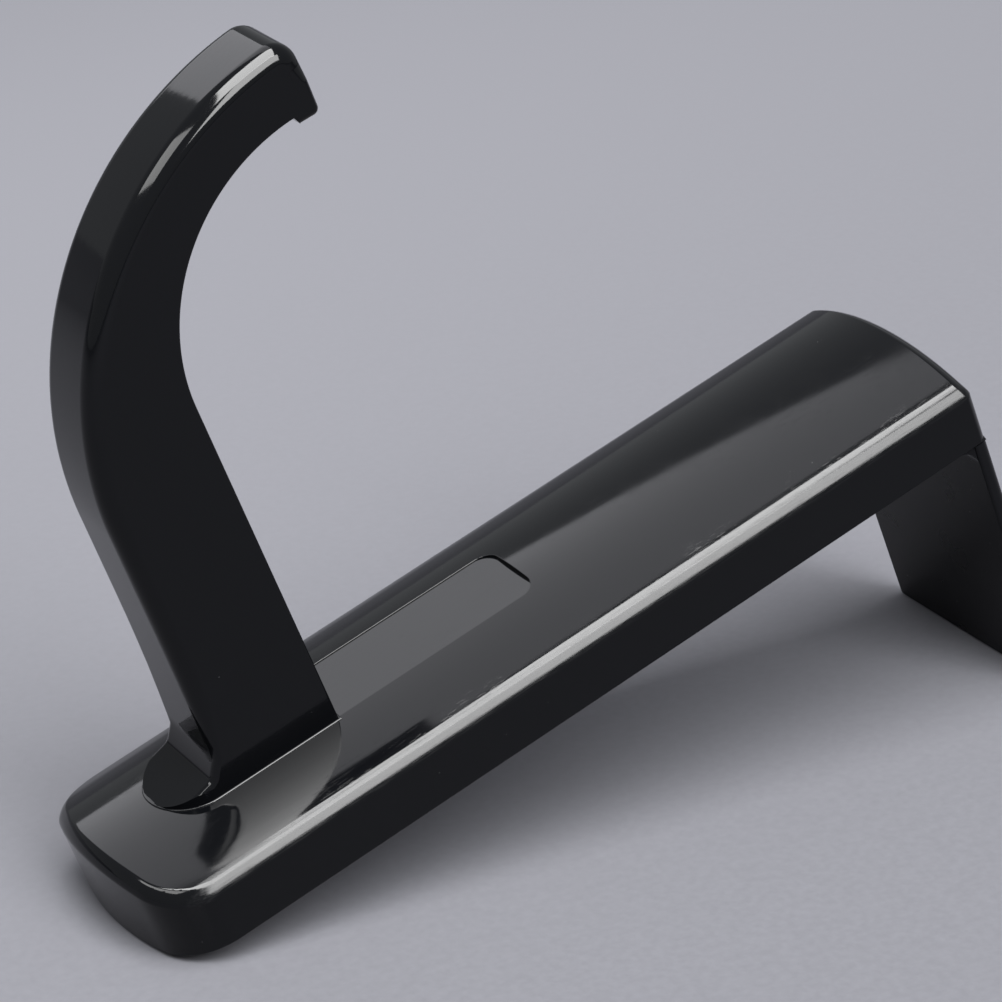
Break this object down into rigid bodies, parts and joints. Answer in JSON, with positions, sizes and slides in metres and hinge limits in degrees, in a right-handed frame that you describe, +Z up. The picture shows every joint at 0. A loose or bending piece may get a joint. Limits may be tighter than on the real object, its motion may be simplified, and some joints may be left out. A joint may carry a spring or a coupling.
{
  "type": "headphone stand",
  "caption": "Stick-on headphone stand: a crowned base bar with a leg behind that hooks over a screen's edge, and an upright curved hook that carries a headband.",
  "frame": {"origin": "bottom centre of the box round the stand, as it stands on a desk on its nose and on its leg's tip", "axes": "+X from the nose towards the leg, +Y to the left of that, +Z up; the stand is symmetric about the XZ plane"},
  "size_m": [0.142, 0.036, 0.1129],
  "materials": {
    "gloss_black": "glossy moulded ABS, lightly dusty and finely scratched",
    "satin_black": "satin moulded ABS",
    "plated_steel": "zinc-plated steel",
    "foam": "closed-cell foam tape",
    "liner": "waxed release film"
  },
  "bodies": {
    "root": {"base_shell": "gloss_black", "leg_bracket": "satin_black", "hook": "gloss_black", "headband_cover": "satin_black", "hook_screws": "plated_steel", "bracket_screws": "plated_steel", "front_foam_pad": "foam", "rear_foam_pad": "foam", "front_pad_liner": "liner", "rear_pad_liner": "liner"}
  },
  "joints": []
}
